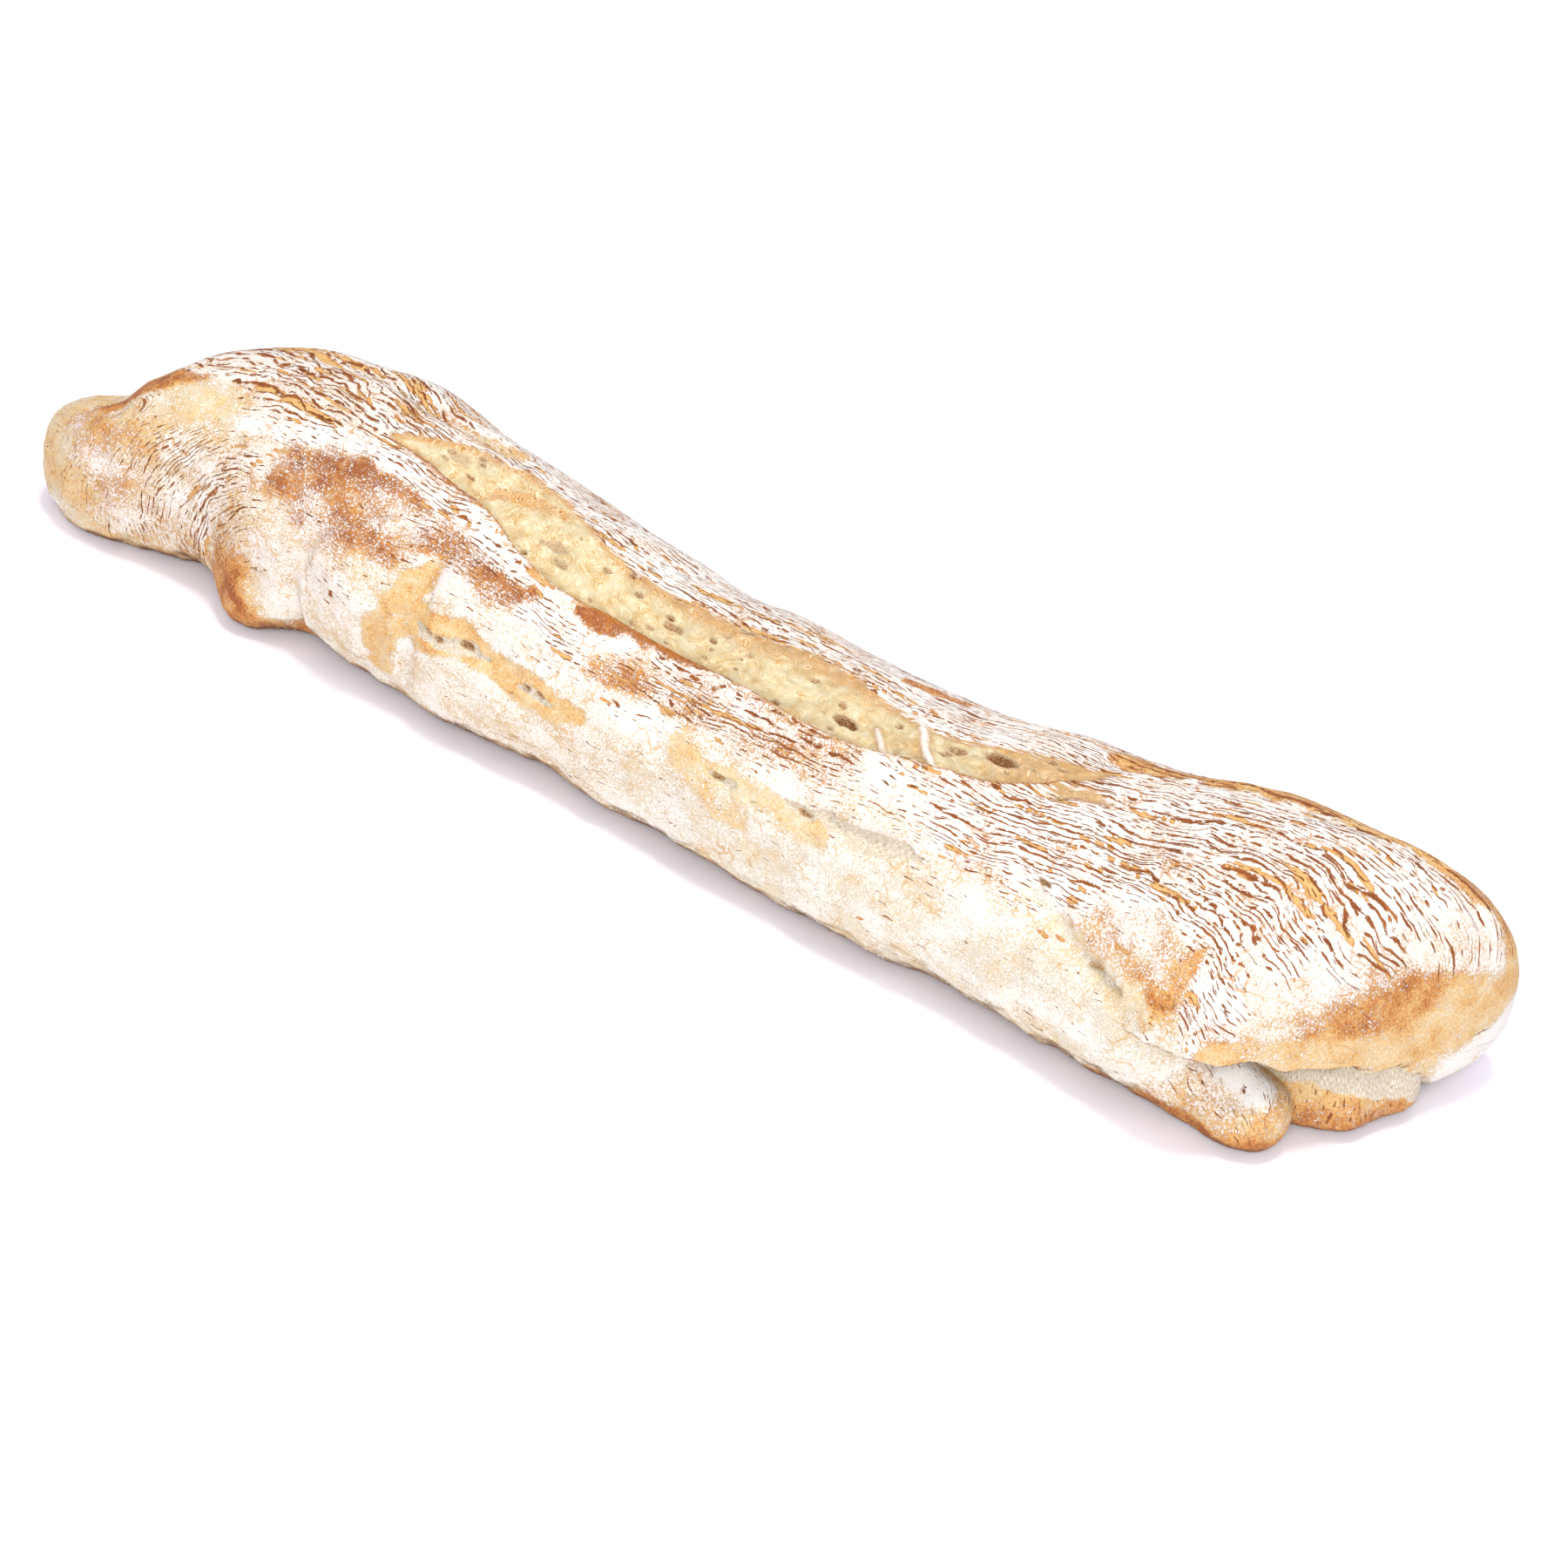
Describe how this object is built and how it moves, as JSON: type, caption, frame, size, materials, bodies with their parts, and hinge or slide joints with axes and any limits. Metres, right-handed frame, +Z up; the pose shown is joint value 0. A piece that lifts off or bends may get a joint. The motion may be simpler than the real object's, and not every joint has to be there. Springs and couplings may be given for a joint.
{
  "type": "baguette loaf",
  "caption": "Rustic floured baguette with a long burst along its crust and a folded near end, lying on its flat underside.",
  "frame": {"origin": "under the middle of the loaf's box, on the surface it rests on", "axes": "+X along the loaf towards its folded near end, +Z up, the burst opens upwards and slightly to -Y"},
  "size_m": [0.4503, 0.0953, 0.0656],
  "materials": {
    "crust": "matt baked dough dusted with white flour, golden brown where the flour is rubbed off"
  },
  "bodies": {
    "root": {"loaf": "crust"}
  },
  "joints": []
}
